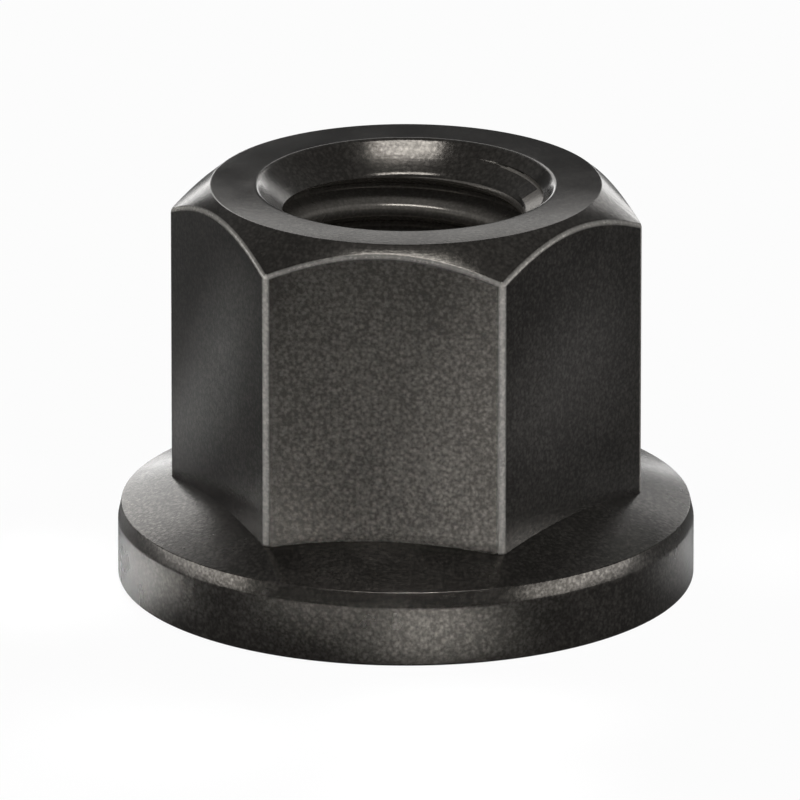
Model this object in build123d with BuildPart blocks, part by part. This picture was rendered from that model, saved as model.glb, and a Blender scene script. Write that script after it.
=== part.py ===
from build123d import *

import os
from math import cos, pi, radians, tan

# Tall hexagon nut with a conical flange and a serrated bearing face, for an M12 coarse thread.
# The origin is the centre of the bearing face. +Z runs along the thread, towards the hexagon,
# and two corners of the hexagon lie over the X axis. Lengths are in millimetres, angles in degrees.

# Hexagon
across_flats = 18.0
nut_height = 18.0
corner_rounding = 0.3
top_land_diameter = 17.2
top_chamfer_angle = 40.0

# Thread: the bore is the hole that is left inside the crests of the internal thread
thread_diameter = 12.0
thread_pitch = 1.75
countersink_diameter = 13.0
countersink_angle = 90.0

# Flange: a plain rim, a steep shoulder above it, and a cone that rises to the hexagon
flange_diameter = 25.0
rim_top_height = 3.0
shoulder_height = 0.6
shoulder_inset = 0.15
cone_angle = 18.0
root_fillet = 0.25

# Bearing face: a plain ring round the bore, serrations outside it, and a relief at the rim
plain_ring_width = 0.8
relief_width = 1.15
relief_height = 0.35
tooth_count = 36
tooth_depth = 0.24
tooth_crest_width = 0.4
tooth_lock_angle = 75.0

# How far a cutter overruns the metal that it cuts
overrun = 1.0

# Radii and heights that follow from the sizes above
flat_radius = across_flats / 2
corner_radius = flat_radius / cos(radians(30))
top_land_radius = top_land_diameter / 2
bore_radius = (thread_diameter - 1.0825 * thread_pitch) / 2
countersink_radius = countersink_diameter / 2
rim_radius = flange_diameter / 2
cone_foot_radius = rim_radius - shoulder_inset
cone_foot_height = rim_top_height + shoulder_height
cone_tip_height = cone_foot_height + cone_foot_radius * tan(radians(cone_angle))
plain_ring_radius = countersink_radius + plain_ring_width
bearing_radius = rim_radius - relief_width

# A groove's root leaves the bearing face at the plain ring and reaches the tooth's depth at the
# edge of the bearing face. Its section is steep on the side that bites when the nut is turned
# back, and a long ramp on the side that slides when the nut is tightened clockwise.
groove_run = bearing_radius - plain_ring_radius
tooth_pitch = 2 * pi * bearing_radius / tooth_count
lock_width = tooth_depth / tan(radians(tooth_lock_angle))
ramp_width = tooth_pitch - tooth_crest_width - lock_width
cutter_reach = (rim_radius + overrun - plain_ring_radius) / groove_run

with BuildPart() as groove_cutter:
    # The section's mouth lies low enough to stay under the bearing face out to the rim
    with BuildSketch(Plane.YZ.offset(plain_ring_radius)):
        with BuildLine():
            Polyline(
                (0, 0),
                (-cutter_reach * lock_width, -cutter_reach * tooth_depth),
                (cutter_reach * ramp_width, -cutter_reach * tooth_depth),
                close=True,
            )
        make_face()
    groove_root = Vector(groove_run, 0, tooth_depth)
    extrude(amount=cutter_reach * groove_root.length, dir=groove_root)

with BuildPart() as flange_nut:
    # Flange, turned from the bearing face up to the cone
    with BuildSketch(Plane.XZ):
        with BuildLine():
            Polyline(
                (0, 0),
                (bearing_radius, 0),
                (rim_radius, relief_height),
                (rim_radius, rim_top_height),
                (cone_foot_radius, cone_foot_height),
                (0, cone_tip_height),
                close=True,
            )
        make_face()
    revolve(axis=Axis.Z)

    # Hexagon, standing in the cone, with a small fillet where its flats meet the cone
    with BuildSketch() as hexagon:
        RegularPolygon(radius=flat_radius, side_count=6, major_radius=False)
        fillet(hexagon.vertices(), radius=corner_rounding)
    extrude(amount=nut_height)
    root_edges = flange_nut.edges(Select.NEW).filter_by_position(
        Axis.Z, cone_foot_height, cone_tip_height
    )
    fillet(root_edges, radius=root_fillet)

    # Turned chamfer that takes the hexagon's top corners back to a round land
    with BuildSketch(Plane.XZ):
        chamfer_width = corner_radius + overrun - top_land_radius
        chamfer_drop = chamfer_width * tan(radians(top_chamfer_angle))
        with BuildLine():
            Polyline(
                (top_land_radius, nut_height),
                (top_land_radius + chamfer_width, nut_height),
                (top_land_radius + chamfer_width, nut_height - chamfer_drop),
                close=True,
            )
        make_face()
    revolve(axis=Axis.Z, mode=Mode.SUBTRACT)

    # Bore, countersunk at both ends
    with Locations(Plane.XY.offset(nut_height), Plane.XY.rotated((180, 0, 0))):
        CounterSinkHole(bore_radius, countersink_radius, counter_sink_angle=countersink_angle)

    # Serrations
    with PolarLocations(0, tooth_count):
        add(groove_cutter.part, mode=Mode.SUBTRACT)

flange_nut.part.label = "flange_nut"
os.makedirs("parts", exist_ok=True)
export_step(flange_nut.part, "parts/flange_nut.step")
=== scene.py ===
from math import cos, pi, radians, sin, tan

import bmesh
import bpy
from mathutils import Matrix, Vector


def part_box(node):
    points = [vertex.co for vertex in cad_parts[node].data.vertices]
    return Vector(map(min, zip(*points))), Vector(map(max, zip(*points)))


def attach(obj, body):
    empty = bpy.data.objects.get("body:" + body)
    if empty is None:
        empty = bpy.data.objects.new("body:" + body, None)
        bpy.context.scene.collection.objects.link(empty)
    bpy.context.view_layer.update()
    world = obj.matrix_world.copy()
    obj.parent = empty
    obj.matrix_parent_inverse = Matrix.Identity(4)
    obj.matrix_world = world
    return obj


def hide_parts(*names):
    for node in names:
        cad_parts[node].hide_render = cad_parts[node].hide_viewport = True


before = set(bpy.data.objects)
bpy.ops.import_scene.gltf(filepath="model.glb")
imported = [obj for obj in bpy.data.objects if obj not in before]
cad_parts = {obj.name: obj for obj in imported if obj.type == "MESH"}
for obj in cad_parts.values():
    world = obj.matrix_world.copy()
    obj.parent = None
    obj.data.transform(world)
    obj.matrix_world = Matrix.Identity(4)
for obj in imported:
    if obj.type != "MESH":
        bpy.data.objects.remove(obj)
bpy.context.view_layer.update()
nutNode = "flange_nut"
nutLow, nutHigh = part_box(nutNode)
mm = 0.001
rimRadius = nutHigh.x / mm
nutHeight = nutHigh.z / mm
scene = bpy.context.scene
scene.view_settings.view_transform = "Standard"


# The direction at an azimuth and an elevation, in degrees round from the front flat and up
def fromAngles(azimuth, elevation):
    turn, rise = radians(azimuth), radians(elevation)
    return Vector((sin(turn) * cos(rise), -cos(turn) * cos(rise), sin(rise)))


# Camera: a long lens a little above the flange, turned slightly past the front flat

cameraSetup = {
    "azimuth": 6.18,
    "elevation": 18.67,
    "distance": 0.800,
    "frameWidth": 0.034655,  # what the frame spans at the nut's middle
    "aside": (-0.256, -0.810),  # mm right and up, from the nut's middle to the frame's
    "clip": (0.01, 10),
}


def makeCamera(setup):
    turn = radians(setup["azimuth"])
    back = fromAngles(setup["azimuth"], setup["elevation"])
    right = Vector((cos(turn), sin(turn), 0))
    up = back.cross(right)
    middle = (nutLow + nutHigh) / 2
    aim = middle + (right * setup["aside"][0] + up * setup["aside"][1]) * mm
    bpy.ops.object.camera_add(location=aim + back * setup["distance"])
    camera = bpy.context.object
    camera.name = "viewCamera"
    camera.rotation_euler = back.to_track_quat("Z", "Y").to_euler()
    camera.data.lens = camera.data.sensor_width * setup["distance"] / setup["frameWidth"]
    camera.data.clip_start, camera.data.clip_end = setup["clip"]
    scene.camera = camera


makeCamera(cameraSetup)
print("camera set")


# Working steps that the modelling shares. Gaps in mm.

weldGap = 0.0005  # points closer than this are merged
cutGap = 0.0001  # points closer than this lie on a cut
leanGap = 0.06  # how far a face may lean from what is looked for


def clearSelection():
    for item in bpy.context.selected_objects:
        item.select_set(False)


def selectAlone(piece):
    clearSelection()
    piece.select_set(True)
    bpy.context.view_layer.objects.active = piece


def enterEdit(piece):
    selectAlone(piece)
    bpy.ops.object.mode_set(mode="EDIT")


def leaveEdit():
    bpy.ops.object.mode_set(mode="OBJECT")


def tidyMesh(piece):
    enterEdit(piece)
    bpy.ops.mesh.select_all(action="SELECT")
    bpy.ops.mesh.remove_doubles(threshold=weldGap * mm)
    bpy.ops.mesh.dissolve_degenerate(threshold=weldGap * mm)
    bpy.ops.mesh.normals_make_consistent(inside=False)
    leaveEdit()


# Cuts away what lies past a plane and closes the cut, in edit mode
def trim(point, facing):
    bpy.ops.mesh.select_all(action="SELECT")
    bpy.ops.mesh.bisect(
        plane_co=point * mm,
        plane_no=facing.normalized(),
        use_fill=True,
        clear_outer=True,
        threshold=cutGap * mm,
    )


# A turned solid: a disc whose face is drawn up and scaled through each step of a profile
def turnSolid(name, profile, facets):
    radius, height = profile[0]
    clearSelection()
    bpy.ops.mesh.primitive_circle_add(vertices=facets, radius=radius * mm, fill_type="NGON")
    piece = bpy.context.object
    piece.name = name
    enterEdit(piece)
    bpy.ops.mesh.select_all(action="SELECT")
    bpy.ops.transform.translate(value=(0, 0, height * mm))
    for nextRadius, nextHeight in profile[1:]:
        rise = (nextHeight - height) * mm
        grow = nextRadius / radius
        bpy.ops.mesh.extrude_region_move(TRANSFORM_OT_translate={"value": (0, 0, rise)})
        bpy.ops.transform.resize(value=(grow, grow, 1), center_override=(0, 0, 0))
        radius, height = nextRadius, nextHeight
    leaveEdit()
    tidyMesh(piece)
    return piece


def combine(piece, tool, operation):
    step = piece.modifiers.new(operation.lower(), "BOOLEAN")
    step.object = tool
    step.operation = operation
    step.solver = "EXACT"
    selectAlone(piece)
    bpy.ops.object.modifier_apply(modifier=step.name)
    bpy.data.objects.remove(tool, do_unlink=True)
    tidyMesh(piece)


# Selects the edges between two kinds of face, told apart by how far each leans upwards, in one ring
def selectEdges(piece, ring):
    bpy.ops.mesh.select_all(action="DESELECT")
    bpy.ops.mesh.select_mode(type="EDGE")
    edit = bmesh.from_edit_mesh(piece.data)
    wanted = sorted(ring["between"])
    inner, outer = ring["radius"]
    bottom, top = ring["height"]
    count = 0
    for edge in edit.edges:
        if len(edge.link_faces) != 2:
            continue
        middle = (edge.verts[0].co + edge.verts[1].co) / 2 / mm
        leans = sorted(face.normal.z for face in edge.link_faces)
        alike = all(abs(lean - want) < leanGap for lean, want in zip(leans, wanted))
        if alike and inner < middle.xy.length < outer and bottom < middle.z < top:
            edge.select_set(True)
            count += 1
    bmesh.update_edit_mesh(piece.data)
    return count


# Points round a softened corner of a section, from the line that comes in to the one that leaves
def softenCorner(before, corner, after, setback, steps):
    before, corner, after = Vector(before), Vector(corner), Vector(after)
    entry = corner + (before - corner).normalized() * setback
    leave = corner + (after - corner).normalized() * setback
    points = []
    for step in range(steps + 1):
        share = step / steps
        first = entry.lerp(corner, share)
        points.append(first.lerp(corner.lerp(leave, share), share))
    return points


# Finishes: one black oxide over forged, turned and thread-cut steel. Sizes in mm, colours linear.

finishes = {
    "flatOxide": {
        "colour": (0.0060, 0.0056, 0.0050),
        "stain": (0.0180, 0.0167, 0.0150),
        "roughness": (0.17, 0.24),
        "gloss": (0.29, 0.73),
        "grainSize": 0.25,
        "grainDepth": 0.0025,
        "crownRadius": 80.0,  # the flats bulge a little from corner to corner
    },
    "flangeOxide": {
        "colour": (0.0100, 0.0093, 0.0083),
        "stain": (0.0270, 0.0252, 0.0225),
        "roughness": (0.20, 0.28),
        "gloss": (0.29, 0.73),
        "grainSize": 0.25,
        "grainDepth": 0.0025,
    },
    "turnedOxide": {
        "colour": (0.0080, 0.0074, 0.0066),
        "stain": (0.0200, 0.0186, 0.0167),
        "roughness": (0.16, 0.23),
        "gloss": (0.34, 0.64),
        "grainSize": 0.25,
        "grainDepth": 0.0020,
        "toolMarks": 0.0020,
    },
    "landOxide": {
        "colour": (0.0080, 0.0074, 0.0066),
        "stain": (0.0200, 0.0186, 0.0167),
        "roughness": (0.16, 0.23),
        "gloss": (0.34, 0.64),
        "grainSize": 0.25,
        "grainDepth": 0.0020,
        "toolMarks": 0.0020,
        "edgeFall": 4.2,  # degrees by which the turned land leans away from the bore
    },
    # The thread's colour is partly real and partly painted light: cut steel under a thinner oxide, made
    # far lighter than the other oxides so the thread in the shaded bore looks lit
    "threadOxideAndBoreLight": {
        "colour": (0.110, 0.1030, 0.0940),
        "stain": (0.170, 0.1600, 0.1450),
        "roughness": (0.20, 0.28),
        "gloss": (0.85, 1.0),
        "grainSize": 0.20,
        "grainDepth": 0.0012,
        "toolMarks": 0.0015,
    },
}
oxideIndex = 1.8  # refractive index of the oxide skin
oxideSheen = (1.0, 0.93, 0.84)  # its highlights are a little warm
edgeFlag = len(finishes)  # the slot that marks a broken edge until its wear and painted highlight are set

# How the oxide's patterns are made. A range is the part of a pattern that is spread from 0 to 1.
oxidePattern = {
    "cloudSize": 2.6,
    "cloudDetail": 4,
    "cloudRange": (0.35, 0.65),
    "cloudShare": 0.3,  # of the mottling, and the grain is the rest
    "mottleRange": (0.25, 0.75),
    "dotScatter": 0.85,
    "dotRange": (0.05, 0.60),
    "dotShare": 0.5,  # of the grain, and the speckles are the rest
    "speckleSize": 0.5,  # in grain sizes
    "speckleRange": (0.3, 0.7),
    "fineSize": 0.09,
    "fineDepth": 0.1,  # in grain depths
    "ringSize": 0.12,  # between the marks of the turning tool
}
# Rubbed steel along the hexagon's edges: partly real wear, partly a painted highlight that stands for
# the light the rounded edges catch
rubbedSteelAndHighlight = {
    "colour": (0.82, 0.79, 0.735),
    "roughness": 0.42,
    "metal": 0.15,
    "grainRange": (0.2, 0.7),
    "least": 0.72,  # how much of the wear and painted highlight the hollows of the grain get, where its tops get all of it
}


def addNoise(tree, place, size, detail):
    noise = tree.nodes.new("ShaderNodeTexNoise")
    noise.inputs["Scale"].default_value = 1 / (size * mm)
    noise.inputs["Detail"].default_value = detail
    tree.links.new(place, noise.inputs["Vector"])
    return noise.outputs["Fac"]


def addDots(tree, place, size, scatter):
    dots = tree.nodes.new("ShaderNodeTexVoronoi")
    dots.inputs["Scale"].default_value = 1 / (size * mm)
    dots.inputs["Randomness"].default_value = scatter
    tree.links.new(place, dots.inputs["Vector"])
    return dots.outputs["Distance"]


def spread(tree, value, fromRange, toRange=(0.0, 1.0)):
    ramp = tree.nodes.new("ShaderNodeMapRange")
    ends = ramp.inputs[1:5]  # of the range it reads, then of the range it gives
    for socket, number in zip(ends, (*fromRange, *toRange)):
        socket.default_value = number
    tree.links.new(value, ramp.inputs["Value"])
    return ramp.outputs["Result"]


def combineValues(tree, operation, first, second):
    sums = tree.nodes.new("ShaderNodeMath")
    sums.operation = operation
    for socket, value in zip(sums.inputs, (first, second)):
        if isinstance(value, (int, float)):
            socket.default_value = value
        else:
            tree.links.new(value, socket)
    return sums.outputs["Value"]


# A share of the first value, and the rest of the second
def blendValues(tree, share, first, second):
    firstPart = combineValues(tree, "MULTIPLY", first, share)
    secondPart = combineValues(tree, "MULTIPLY", second, 1 - share)
    return combineValues(tree, "ADD", firstPart, secondPart)


def blendColours(tree, share, first, second):
    mix = tree.nodes.new("ShaderNodeMix")
    mix.data_type = "RGBA"
    tree.links.new(share, mix.inputs["Factor"])
    for socket, colour in ((mix.inputs["A"], first), (mix.inputs["B"], second)):
        if isinstance(colour, tuple):
            socket.default_value = (*colour, 1)
        else:
            tree.links.new(colour, socket)
    return mix.outputs["Result"]


# How far a point lies from the thread's axis
def addRadius(tree, place):
    flat = tree.nodes.new("ShaderNodeVectorMath")
    flat.operation = "MULTIPLY"
    flat.inputs[1].default_value = (1, 1, 0)
    tree.links.new(place, flat.inputs[0])
    radius = tree.nodes.new("ShaderNodeVectorMath")
    radius.operation = "LENGTH"
    tree.links.new(flat.outputs["Vector"], radius.inputs[0])
    return radius.outputs["Value"]


def addToolMarks(tree, place, radius, depth):
    upright = tree.nodes.new("ShaderNodeSeparateXYZ")
    tree.links.new(place, upright.inputs["Vector"])
    rings = tree.nodes.new("ShaderNodeCombineXYZ")
    tree.links.new(radius, rings.inputs["X"])
    tree.links.new(upright.outputs["Z"], rings.inputs["Y"])
    marks = addNoise(tree, rings.outputs["Vector"], oxidePattern["ringSize"], detail=1)
    return combineValues(tree, "MULTIPLY", marks, depth * mm)


# The height of the skin over the true face, for the bump
def addRelief(tree, place, grain, look):
    depth = combineValues(tree, "MULTIPLY", grain, look["grainDepth"] * mm)
    specks = addNoise(tree, place, oxidePattern["fineSize"], detail=2)
    fine = combineValues(tree, "MULTIPLY", specks, look["grainDepth"] * oxidePattern["fineDepth"] * mm)
    relief = combineValues(tree, "ADD", depth, fine)
    radius = addRadius(tree, place)
    if "toolMarks" in look:
        marks = addToolMarks(tree, place, radius, look["toolMarks"])
        relief = combineValues(tree, "ADD", relief, marks)
    if "crownRadius" in look:
        square = combineValues(tree, "MULTIPLY", radius, radius)
        fall = combineValues(tree, "MULTIPLY", square, -0.5 / (look["crownRadius"] * mm))
        relief = combineValues(tree, "ADD", relief, fall)
    if "edgeFall" in look:
        fall = combineValues(tree, "MULTIPLY", radius, -tan(radians(look["edgeFall"])))
        relief = combineValues(tree, "ADD", relief, fall)
    return relief


def makeFinish(name, look):
    finish = bpy.data.materials.new(name)
    finish.use_nodes = True
    tree = finish.node_tree
    links = tree.links
    steel = tree.nodes["Principled BSDF"]
    steel.inputs["IOR"].default_value = oxideIndex
    steel.inputs["Specular Tint"].default_value = (*oxideSheen, 1)
    place = tree.nodes.new("ShaderNodeTexCoord").outputs["Object"]

    clouds = addNoise(tree, place, oxidePattern["cloudSize"], oxidePattern["cloudDetail"])
    pebbles = addDots(tree, place, look["grainSize"], oxidePattern["dotScatter"])
    dots = spread(tree, pebbles, oxidePattern["dotRange"], (1.0, 0.0))
    speckles = addNoise(tree, place, look["grainSize"] * oxidePattern["speckleSize"], detail=1)
    speckles = spread(tree, speckles, oxidePattern["speckleRange"])
    grain = blendValues(tree, oxidePattern["dotShare"], dots, speckles)
    mottle = blendValues(tree, oxidePattern["cloudShare"], clouds, grain)

    # The edge wear attribute paints a highlight as well as wear: it blends the oxide towards light
    # rubbed steel along the rounded edges
    wearAndHighlight = tree.nodes.new("ShaderNodeAttribute")
    wearAndHighlight.attribute_name = "edgeWearAndHighlight"
    barenessAndHighlight = spread(tree, grain, rubbedSteelAndHighlight["grainRange"], (rubbedSteelAndHighlight["least"], 1.0))
    rubbedAndHighlight = combineValues(tree, "MULTIPLY", wearAndHighlight.outputs["Fac"], barenessAndHighlight)

    mottled = spread(tree, mottle, oxidePattern["mottleRange"])
    oxideColour = blendColours(tree, mottled, look["colour"], look["stain"])
    links.new(blendColours(tree, rubbedAndHighlight, oxideColour, rubbedSteelAndHighlight["colour"]), steel.inputs["Base Color"])
    links.new(combineValues(tree, "MULTIPLY", rubbedAndHighlight, rubbedSteelAndHighlight["metal"]), steel.inputs["Metallic"])
    oxideRoughness = spread(tree, clouds, oxidePattern["cloudRange"], look["roughness"])
    rougher = combineValues(tree, "MULTIPLY", rubbedAndHighlight, rubbedSteelAndHighlight["roughness"] - look["roughness"][1])
    links.new(combineValues(tree, "ADD", oxideRoughness, rougher), steel.inputs["Roughness"])
    gloss = spread(tree, mottle, oxidePattern["mottleRange"], look["gloss"])
    links.new(gloss, steel.inputs["Specular IOR Level"])

    bump = tree.nodes.new("ShaderNodeBump")
    bump.inputs["Distance"].default_value = 1.0
    bump.inputs["Strength"].default_value = 1.0
    links.new(addRelief(tree, place, grain, look), bump.inputs["Height"])
    links.new(bump.outputs["Normal"], steel.inputs["Normal"])
    return finish


oxides = [makeFinish(name, look) for name, look in finishes.items()]
print("finishes mixed", len(oxides))


# The nut's forged and turned body. Radii and heights in mm, from the thread axis and the bearing face.

body = {
    "facets": 192,
    "flatRadius": 8.92,
    "cornerRounding": 0.42,
    "wearAndHighlightFoot": 0.15,  # how far above the flange the rubbed corners and their painted highlight stop
    "topLandRadius": 8.45,
    "topChamferAngle": 40.0,
    "rimTop": 2.92,
    "shoulderHeight": 0.68,
    "shoulderInset": 0.15,
    "coneAngle": 18.0,
    "coneOverlap": 2.0,  # how far the flange's cone runs on inside the hexagon
    "reliefWidth": 1.15,
    "reliefHeight": 0.35,
    "countersinkRadius": 6.45,
    "countersinkSlopes": (50.5, 35.5),  # steeper at its mouth than at the bore
    "countersinkRows": 6,
    "coreInset": 1.0,  # from the countersink's edge to the blank's core, which is drilled away
    "pilotRadius": 5.045,  # drilled before the thread is cut
    "pilotSoftening": 0.3,
    "overrun": 0.2,  # how far a cutter stands past the metal
}
sides = 6
sideAngle = 360 / sides
halfSide = radians(sideAngle / 2)


def makeHexagon(size):
    blankRadius = size["flatRadius"] / cos(halfSide) + size["overrun"]
    chamferDrop = (blankRadius - size["topLandRadius"]) * tan(radians(size["topChamferAngle"]))
    profile = [
        (blankRadius, size["reliefHeight"] + size["overrun"]),
        (blankRadius, nutHeight - chamferDrop),
        (size["topLandRadius"], nutHeight),
        (size["countersinkRadius"] + size["overrun"], nutHeight),
        (size["countersinkRadius"] - size["coreInset"], nutHeight),
    ]
    hexagon = turnSolid("hexagon", profile, size["facets"])
    for oxide in oxides + [None]:
        hexagon.data.materials.append(oxide)
    enterEdit(hexagon)
    for side in range(sides):
        turn = radians(sideAngle * (side + 0.5))
        facing = Vector((cos(turn), sin(turn), 0))
        trim(facing * size["flatRadius"], facing)
    leaveEdit()
    tidyMesh(hexagon)
    roundCorners(hexagon, size)
    return hexagon


# Rounds the upright corners, and adds a row of points above the flange where their wear and painted
# highlight stop
def roundCorners(hexagon, size):
    corners = {"between": (0, 0), "radius": (size["flatRadius"], rimRadius), "height": (0, nutHeight)}
    enterEdit(hexagon)
    count = selectEdges(hexagon, corners)
    setback = size["cornerRounding"] * tan(halfSide) * mm
    bpy.ops.mesh.bevel(offset=setback, segments=6, profile=0.5, affect="EDGES", material=edgeFlag)
    cornerRadius = size["flatRadius"] / cos(halfSide)
    foot = size["rimTop"] + size["shoulderHeight"]
    foot += (rimRadius - size["shoulderInset"] - cornerRadius) * tan(radians(size["coneAngle"]))
    row = Vector((0, 0, foot + size["wearAndHighlightFoot"])) * mm
    bpy.ops.mesh.select_all(action="SELECT")
    bpy.ops.mesh.bisect(plane_co=row, plane_no=(0, 0, 1), threshold=cutGap * mm)
    leaveEdit()
    print("corners rounded", count)


def makeFlange(size):
    bearingRadius = rimRadius - size["reliefWidth"]
    shoulderRadius = rimRadius - size["shoulderInset"]
    shoulderTop = size["rimTop"] + size["shoulderHeight"]
    insideRadius = size["flatRadius"] - size["coneOverlap"]
    rise = (shoulderRadius - insideRadius) * tan(radians(size["coneAngle"]))
    profile = [
        (bearingRadius, 0),
        (rimRadius, size["reliefHeight"]),
        (rimRadius, size["rimTop"]),
        (shoulderRadius, shoulderTop),
        (insideRadius, shoulderTop + rise),
    ]
    return turnSolid("flange", profile, size["facets"])


# How deep the slightly hollow countersink is at a radius
def sinkDepth(size, radius):
    steep, shallow = size["countersinkSlopes"]
    inward = size["countersinkRadius"] - radius
    share = inward / (size["countersinkRadius"] - size["pilotRadius"])
    return inward * tan(radians(steep + (shallow - steep) * share / 2))


# The drill has a countersink at each end and a softened corner where each one meets the bore
def makeDrill(size):
    mouth, pilot = size["countersinkRadius"], size["pilotRadius"]
    rows = size["countersinkRows"]
    radii = [mouth + (pilot - mouth) * row / rows for row in range(rows + 1)]
    sink = [(radius, sinkDepth(size, radius)) for radius in radii]
    corner = softenCorner(sink[-2], sink[-1], (pilot, nutHeight / 2), size["pilotSoftening"], rows)
    half = [(mouth + size["overrun"], -size["overrun"])]
    half += [point for point in sink if point[0] > corner[0].x]
    half += [tuple(point) for point in corner]
    mirrored = [(radius, nutHeight - height) for radius, height in reversed(half)]
    return turnSolid("drill", half + mirrored, size["facets"])


nutPiece = makeHexagon(body)
nutPiece.name = "flangeNutBody"
combine(nutPiece, makeFlange(body), "UNION")
combine(nutPiece, makeDrill(body), "DIFFERENCE")
print("body drilled, faces", len(nutPiece.data.polygons))


# Edges broken after turning, each found by the leans of the faces beside it and the ring that holds it

level, wall = 1.0, 0.0
chamferLean = cos(radians(body["topChamferAngle"]))
coneLean = cos(radians(body["coneAngle"]))
shoulderLean = body["shoulderInset"] / body["shoulderHeight"]
reliefLean = -body["reliefWidth"] / Vector((body["reliefWidth"], body["reliefHeight"])).length
sinkLean = cos(radians(body["countersinkSlopes"][0]))
edgeBreaks = {
    "flatTops": {"between": (wall, chamferLean), "radius": (8.7, 11), "height": (14, 18), "width": 0.16},
    "topLand": {"between": (level, chamferLean), "radius": (8, 9), "height": (17, 19), "width": 0.04},
    "topSink": {"between": (level, sinkLean), "radius": (6, 7), "height": (17, 19), "width": 0.12},
    "shoulderTop": {
        "between": (shoulderLean, coneLean),
        "radius": (12, 12.6),
        "height": (3, 4),
        "width": 0.03,
    },
    "rimTop": {"between": (shoulderLean, wall), "radius": (12, 13), "height": (2.5, 3.5), "width": 0.06},
    "rimBottom": {"between": (reliefLean, wall), "radius": (12, 13), "height": (0.2, 0.6), "width": 0.1},
    "bottomSink": {"between": (-level, -sinkLean), "radius": (6, 7), "height": (-1, 1), "width": 0.07},
}
rubbedAndHighlightEdges = ("flatTops",)  # the corners between the flats are rubbed and carry the painted highlight too


def breakEdges(piece, breaks):
    for name, edge in breaks.items():
        enterEdit(piece)
        count = selectEdges(piece, edge)
        flag = edgeFlag if name in rubbedAndHighlightEdges else -1
        width = edge["width"] * mm
        bpy.ops.mesh.bevel(offset=width, segments=4, profile=0.5, affect="EDGES", material=flag)
        leaveEdit()
        print("edge", name, count)
    tidyMesh(piece)


breakEdges(nutPiece, edgeBreaks)


# Serrations: one groove is a block cut by two planes through its root, then spun round the bearing face

serrations = {
    "count": 36,
    "depth": 0.24,  # at the edge of the bearing face
    "crestWidth": 0.4,
    "lockAngle": 75.0,
    "plainRing": 0.8,
    "cutterWidth": 3,  # in ramp widths
    "cutterHeight": 1.0,
    "cutterDrop": 0.02,  # how far it hangs below the bearing face
    "cutterReach": 0.1,  # how far it runs past the rim
}


def makeGrooves(size, blank):
    innerRadius = blank["countersinkRadius"] + size["plainRing"]
    outerRadius = rimRadius + size["cutterReach"]
    bearingRadius = rimRadius - blank["reliefWidth"]
    lockWidth = size["depth"] / tan(radians(size["lockAngle"]))
    rampWidth = 2 * pi * bearingRadius / size["count"] - size["crestWidth"] - lockWidth
    rootLine = Vector((bearingRadius - innerRadius, 0, size["depth"]))
    rampLine = Vector((0, rampWidth, -size["depth"]))
    lockLine = Vector((0, -lockWidth, -size["depth"]))
    rootStart = Vector((innerRadius, 0, 0))
    middle = Vector(((innerRadius + outerRadius) / 2, 0, size["cutterHeight"] / 2 - size["cutterDrop"]))
    block = Vector((outerRadius - innerRadius, size["cutterWidth"] * rampWidth, size["cutterHeight"]))
    clearSelection()
    bpy.ops.mesh.primitive_cube_add(size=1, location=(0, 0, 0))
    grooves = bpy.context.object
    enterEdit(grooves)
    bpy.ops.mesh.select_all(action="SELECT")
    bpy.ops.transform.resize(value=block * mm, center_override=(0, 0, 0))
    bpy.ops.transform.translate(value=middle * mm)
    trim(rootStart, rootLine.cross(rampLine))
    trim(rootStart, lockLine.cross(rootLine))
    bpy.ops.mesh.select_all(action="SELECT")
    copies = size["count"] - 1
    turn = 2 * pi * copies / size["count"]
    bpy.ops.mesh.spin(steps=copies, dupli=True, angle=turn, center=(0, 0, 0), axis=(0, 0, 1))
    leaveEdit()
    tidyMesh(grooves)
    return grooves


combine(nutPiece, makeGrooves(serrations, body), "DIFFERENCE")
print("serrations cut, faces", len(nutPiece.data.polygons))


# Thread: a point is drawn through one pitch of the tap's section, wound up the axis, and squared
# off at both ends

thread = {
    "pitch": 1.75,
    "majorRadius": 6.0,
    "depth": 0.54127,  # in pitches
    "flankAngle": 30.0,
    "startAngle": 85.0,  # where the groove breaks out of the top countersink
    "steps": 96,
    "crestSoftening": 0.20,
    "crestSteps": 4,
    "rootSoftening": 0.08,
    "rootSteps": 2,
    "turnsBelow": 2,
    "turnsSpare": 5,
    "overrun": 0.5,
}


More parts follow.
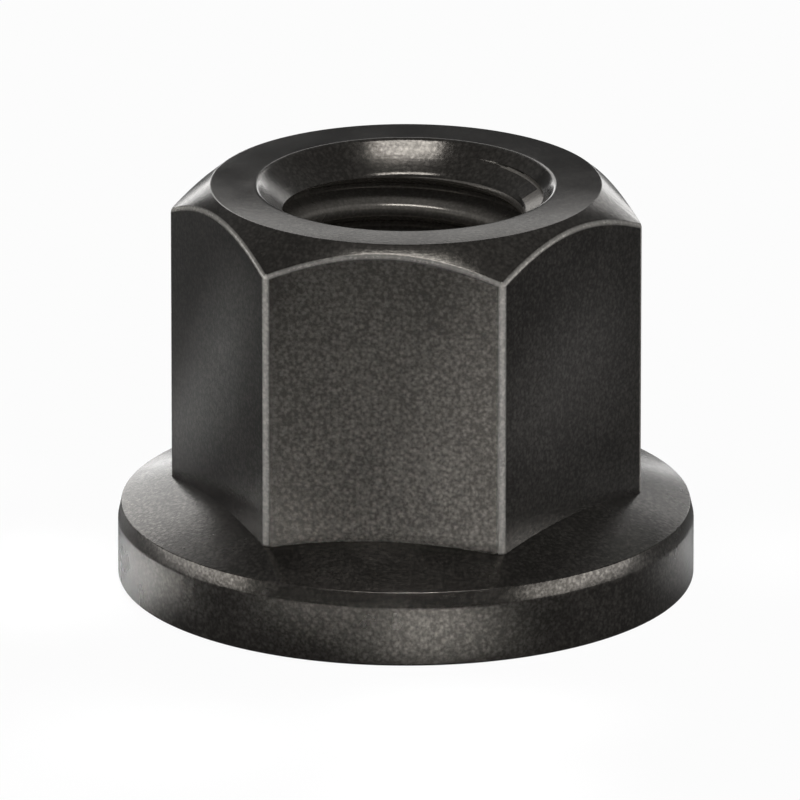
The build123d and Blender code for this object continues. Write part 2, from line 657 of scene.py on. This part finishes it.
def makeTap(size):
    pitch = size["pitch"]
    minorRadius = size["majorRadius"] - size["depth"] * pitch
    flank = (size["majorRadius"] - minorRadius) * tan(radians(size["flankAngle"]))
    crest = pitch / 4
    root = pitch / 8
    start = -size["turnsBelow"] * pitch + pitch * size["startAngle"] / 360
    path = [
        (minorRadius, start),
        (minorRadius, start + crest),
        (size["majorRadius"], start + crest + flank),
        (size["majorRadius"], start + crest + flank + root),
        (minorRadius, start + pitch),
        (minorRadius, start + pitch + crest),
    ]
    crestBend = (size["crestSoftening"], size["crestSteps"])
    rootBend = (size["rootSoftening"], size["rootSteps"])
    section = [Vector((minorRadius, start + size["crestSoftening"]))]
    for place, bend in enumerate((crestBend, rootBend, rootBend, crestBend)):
        section += softenCorner(*path[place:place + 3], *bend)
    clearSelection()
    bpy.ops.mesh.primitive_plane_add(size=mm)
    tap = bpy.context.object
    enterEdit(tap)
    bpy.ops.mesh.select_mode(type="VERT")
    bpy.ops.mesh.select_all(action="SELECT")
    bpy.ops.mesh.merge(type="CENTER")
    radius, height = section[0]
    bpy.ops.transform.translate(value=(radius * mm, 0, height * mm))
    for nextRadius, nextHeight in section[1:]:
        step = ((nextRadius - radius) * mm, 0, (nextHeight - height) * mm)
        bpy.ops.mesh.extrude_region_move(TRANSFORM_OT_translate={"value": step})
        radius, height = nextRadius, nextHeight
    leaveEdit()
    wind = tap.modifiers.new("wind", "SCREW")
    wind.axis = "Z"
    wind.steps = size["steps"]
    wind.render_steps = size["steps"]
    wind.iterations = int(nutHeight / pitch) + size["turnsSpare"]
    wind.screw_offset = pitch * mm
    bpy.ops.object.modifier_apply(modifier=wind.name)
    tidyMesh(tap)
    enterEdit(tap)
    trim(Vector((0, 0, -size["overrun"])), Vector((0, 0, -1)))
    trim(Vector((0, 0, nutHeight + size["overrun"])), Vector((0, 0, 1)))
    leaveEdit()
    tidyMesh(tap)
    return tap


combine(nutPiece, makeTap(thread), "DIFFERENCE")
print("thread cut, faces", len(nutPiece.data.polygons))


# Wear with a painted highlight, and finishes: the wear and highlight lie along the middle of each
# flagged edge, and each face gets the finish of the cut that made it. A lean is the upward share of a
# face's normal, lengths in mm.

faceRules = {
    "wearAndHighlightRounds": 12,  # of averaging, which fade the wear and painted highlight towards the sides of each edge
    "footLean": 0.9,  # faces as level as this end the wear and painted highlight where they meet a corner
    "levelLean": 0.99,
    "slopeLean": 0.5,
    "threadReach": 0.03,  # how far outside its cut a face may still count
    "sinkReach": 0.06,
    "turnedReach": 0.05,
    "heightReach": 0.01,
    "chamferDepth": 2.5,  # the top chamfer ends less than this below the top
}


# Tells which points have only flagged faces round them, and which points the flange's top holds
def findWearAndHighlight(mesh, rules):
    wornAndHighlighted, rooted = {}, set()
    for face in mesh.polygons:
        if face.normal.z > rules["footLean"] and face.center.z / mm < nutHeight / 2:
            rooted.update(face.vertices)
            continue
        for corner in face.vertices:
            wornAndHighlighted[corner] = wornAndHighlighted.get(corner, True) and face.material_index == edgeFlag
    return wornAndHighlighted, rooted


def setWearAndHighlight(piece, rules):
    mesh = piece.data
    wornAndHighlighted, rooted = findWearAndHighlight(mesh, rules)
    beside = {corner: [] for corner in wornAndHighlighted}
    for edge in mesh.edges:
        first, second = edge.vertices
        if first in wornAndHighlighted and second in wornAndHighlighted:
            beside[first].append(second)
            beside[second].append(first)
    amount = {corner: float(flagged) for corner, flagged in wornAndHighlighted.items()}
    for turn in range(rules["wearAndHighlightRounds"]):
        softened = {}
        for corner, own in amount.items():
            around = [amount[other] for other in beside[corner]]
            softened[corner] = (own + sum(around) / len(around)) / 2 if wornAndHighlighted[corner] else 0.0
        amount = softened
    wearAndHighlight = mesh.attributes.new("edgeWearAndHighlight", "FLOAT", "POINT")
    for corner, own in amount.items():
        wearAndHighlight.data[corner].value = 0.0 if corner in rooted else own
    print("wear set on", sum(wornAndHighlighted.values()), "points")


def pickFinish(middle, radius, lean, rules):
    depth = min(middle.z, nutHeight - middle.z)
    onSink = abs(depth - sinkDepth(body, radius)) <= rules["sinkReach"]
    if radius < thread["majorRadius"] + rules["threadReach"] and not onSink:
        return "threadOxideAndBoreLight"
    if middle.z > nutHeight - rules["heightReach"] and lean > rules["levelLean"]:
        return "landOxide"
    if radius < body["countersinkRadius"] + rules["turnedReach"]:
        return "turnedOxide"
    if middle.z < body["reliefHeight"] - rules["heightReach"]:
        return "turnedOxide"
    if middle.z > nutHeight - rules["chamferDepth"] and lean > rules["slopeLean"]:
        return "turnedOxide"
    if middle.z > body["rimTop"] + body["shoulderHeight"] and abs(lean) < rules["slopeLean"]:
        return "flatOxide"
    return "flangeOxide"


def setFinishes(piece, rules):
    mesh = piece.data
    counts = dict.fromkeys(finishes, 0)
    slots = list(finishes)
    for face in mesh.polygons:
        reaches = [mesh.vertices[corner].co.xy.length for corner in face.vertices]
        radius = sum(reaches) / len(reaches) / mm
        oxide = pickFinish(face.center / mm, radius, face.normal.z, rules)
        face.material_index = slots.index(oxide)
        counts[oxide] += 1
    mesh.materials.pop(index=edgeFlag)
    print("faces", counts)


def smoothFaces(piece, angle, weight):
    selectAlone(piece)
    bpy.ops.object.shade_smooth_by_angle(angle=radians(angle))
    weigh = piece.modifiers.new("weigh", "WEIGHTED_NORMAL")
    weigh.keep_sharp = True
    weigh.weight = weight
    bpy.ops.object.modifier_apply(modifier=weigh.name)


setWearAndHighlight(nutPiece, faceRules)
setFinishes(nutPiece, faceRules)
smoothFaces(nutPiece, angle=28, weight=80)


# Studio: a pale floor and backdrop, a dim room, and soft lamps that the camera doesn't see.
# Glow is a lamp's own brightness and bright is that of the floor under it, where 1 is white.
# Angles in degrees, round from the front flat. Lamps in metres, what they aim at in mm.

studio = {
    "floorSize": 4.0,
    "paperColour": (0.22, 0.22, 0.22),
    "paperRoughness": 0.9,
    "cameraWhite": 0.97,  # share of plain white that the camera sees, the rest is lit
    "floorGloss": 0.01,  # share of plain white that shows in the oxide's gloss
    "roomGlow": 0.19,
    "backdrop": {"azimuth": 186.18, "distance": 1.9, "width": 3.4, "height": 1.0, "gloss": 0.03},
    "nutMiddle": (0, 0, 9),
    "lampDistance": 0.8,
    "lamps": {
        "left": {"azimuth": -86, "elevation": 4, "size": (0.80, 0.20), "glow": 3.4},
        "right": {"azimuth": 80, "elevation": 4, "size": (0.80, 0.20), "glow": 3.5},
        "backLeft": {"azimuth": 204, "elevation": 20, "size": (0.20, 0.36), "glow": 1.6},
        "backLeftLow": {"azimuth": 200, "elevation": 3, "size": (0.26, 0.12), "glow": 3.2},
        "backRight": {"azimuth": 162, "elevation": 15, "size": (0.28, 0.26), "glow": 1.3},
        "backRightLow": {"azimuth": 168, "elevation": 3, "size": (0.30, 0.12), "glow": 2.6},
        "backTop": {"azimuth": 187, "elevation": 29, "size": (0.36, 0.15), "glow": 1.2},
        "frontTop": {"azimuth": 6, "elevation": 70, "size": (0.50, 0.15), "glow": 8.5},
    },
    "poolHeight": 0.4,
    "poolSpread": 1.4,
    "poolSoftness": 0.6,  # how much of the spread counts as lit floor
    "pools": {
        "front": {"middle": (6.4, -40.5), "size": (14, 51), "turn": 6, "bright": 0.88},
        "frontLeft": {"middle": (-9.1, -41.2), "size": (17, 50), "turn": 6, "bright": 0.44},
        "frontNear": {"middle": (-6.7, -21.8), "size": (10, 7), "turn": 6, "bright": 0.50},
        "rimFront": {"middle": (4.9, -17.4), "size": (12, 4), "turn": 6, "bright": 0.65},
        "leftNear": {"middle": (-16.2, -2.2), "size": (7, 11), "turn": 6, "bright": 1.05},
        "rightNear": {"middle": (16.1, 4.6), "size": (6, 9), "turn": 6, "bright": 0.27},
        "leftFar": {"middle": (-33.0, 15.0), "size": (32, 4), "turn": -17, "bright": 0.21},
        "rightFar": {"middle": (37.8, 8.1), "size": (26, 3.5), "turn": 49, "bright": 0.20},
    },
}


def makePaper(name, glossWhite):
    paper = bpy.data.materials.new(name)
    paper.use_nodes = True
    tree = paper.node_tree
    lit = tree.nodes["Principled BSDF"]
    lit.inputs["Base Color"].default_value = (*studio["paperColour"], 1)
    lit.inputs["Roughness"].default_value = studio["paperRoughness"]
    lit.inputs["Specular IOR Level"].default_value = 0.0
    white = tree.nodes.new("ShaderNodeEmission")
    path = tree.nodes.new("ShaderNodeLightPath").outputs
    seen = combineValues(tree, "MULTIPLY", path["Is Camera Ray"], studio["cameraWhite"])
    mirrored = combineValues(tree, "MAXIMUM", path["Is Glossy Ray"], path["Is Transmission Ray"])
    mirrored = combineValues(tree, "MULTIPLY", mirrored, glossWhite)
    mix = tree.nodes.new("ShaderNodeMixShader")
    tree.links.new(combineValues(tree, "MAXIMUM", seen, mirrored), mix.inputs["Fac"])
    tree.links.new(lit.outputs["BSDF"], mix.inputs[1])
    tree.links.new(white.outputs["Emission"], mix.inputs[2])
    tree.links.new(mix.outputs["Shader"], tree.nodes["Material Output"].inputs["Surface"])
    return paper


def makeFloor(setup):
    clearSelection()
    bpy.ops.mesh.primitive_circle_add(vertices=96, radius=setup["floorSize"] / 2, fill_type="NGON")
    floor = bpy.context.object
    floor.name = "studioFloor"
    floor.data.materials.append(makePaper("floorPaper", setup["floorGloss"]))


def makeBackdrop(panel):
    back = fromAngles(panel["azimuth"], 0)
    clearSelection()
    bpy.ops.mesh.primitive_plane_add(size=1, location=back * panel["distance"])
    backdrop = bpy.context.object
    backdrop.name = "studioBackdrop"
    backdrop.scale = (panel["width"], panel["height"], 1)
    backdrop.rotation_euler = back.to_track_quat("Z", "Y").to_euler()
    backdrop.location.z = panel["height"] / 2
    backdrop.data.materials.append(makePaper("backdropPaper", panel["gloss"]))


def makeSky(setup):
    sky = bpy.data.worlds.new("softSky")
    scene.world = sky
    sky.use_nodes = True
    glow = sky.node_tree.nodes["Background"]
    glow.inputs["Color"].default_value = (1, 1, 1, 1)
    glow.inputs["Strength"].default_value = setup["roomGlow"]


def addLamp(name, place):
    clearSelection()
    bpy.ops.object.light_add(type="AREA", location=place)
    light = bpy.context.object
    light.name = name
    light.visible_camera = False
    return light


def makeLamp(name, lamp):
    back = fromAngles(lamp["azimuth"], lamp["elevation"])
    light = addLamp(name + "Lamp", Vector(studio["nutMiddle"]) * mm + back * studio["lampDistance"])
    light.rotation_euler = back.to_track_quat("Z", "Y").to_euler()
    wide, high = lamp["size"]
    light.data.shape = "RECTANGLE"
    light.data.size = wide
    light.data.size_y = high
    light.data.energy = lamp["glow"] * pi * wide * high


# A lamp straight above that lights one soft-edged patch of the floor
def makePool(name, pool):
    across, along = pool["middle"]
    light = addLamp(name + "Pool", (across * mm, along * mm, studio["poolHeight"]))
    light.rotation_euler.z = radians(pool["turn"])
    softEdge = studio["poolHeight"] * radians(studio["poolSpread"]) * studio["poolSoftness"]
    wide, high = pool["size"][0] * mm, pool["size"][1] * mm
    litArea = pi / 4 * (wide + softEdge) * (high + softEdge)
    light.data.shape = "ELLIPSE"
    light.data.size = wide
    light.data.size_y = high
    light.data.spread = radians(studio["poolSpread"])
    light.data.energy = pool["bright"] * litArea * pi / studio["paperColour"][0]


makeFloor(studio)
makeBackdrop(studio["backdrop"])
makeSky(studio)
for name, lamp in studio["lamps"].items():
    makeLamp(name, lamp)
for name, pool in studio["pools"].items():
    makePool(name, pool)
print("studio lit")

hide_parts(nutNode)
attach(nutPiece, "root")
